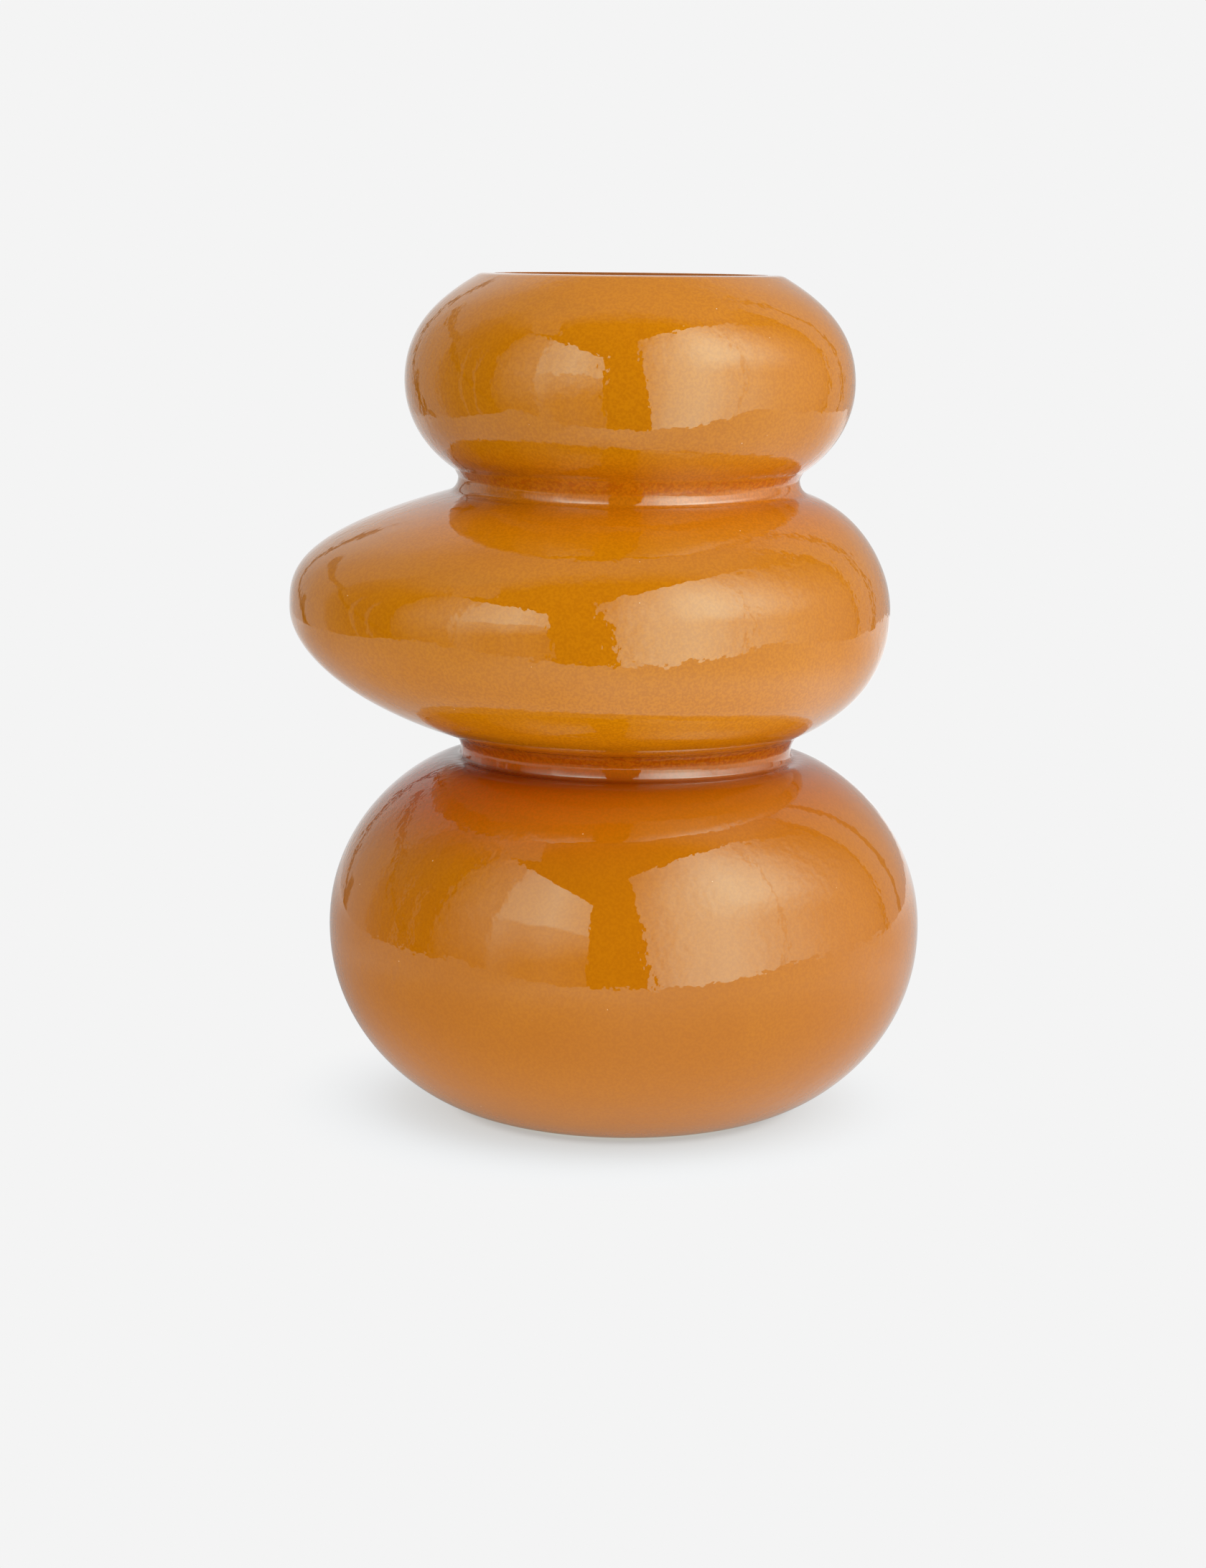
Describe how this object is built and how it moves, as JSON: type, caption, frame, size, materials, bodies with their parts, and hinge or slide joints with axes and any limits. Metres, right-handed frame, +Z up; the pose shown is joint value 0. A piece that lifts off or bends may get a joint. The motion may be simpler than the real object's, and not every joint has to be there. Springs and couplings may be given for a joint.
{
  "type": "flower vase",
  "caption": "Blown-glass flower vase of stacked pebble-shaped bulges joined by smooth necks, opaque amber outside and clear inside, with an open flat-cut mouth and a flat foot.",
  "frame": {"origin": "centre of the flat foot, on the surface that the vase stands on", "axes": "+Z up along the axis of the stack; the long end of the middle pebble points to -X; the side in the picture faces -Y"},
  "size_m": [0.1746, 0.1638, 0.23],
  "materials": {
    "amber_glass": "polished, opaque",
    "clear_glass": "polished, clear"
  },
  "bodies": {
    "root": {"amber_outer_glass": "amber_glass", "clear_inner_glass": "clear_glass"}
  },
  "joints": []
}
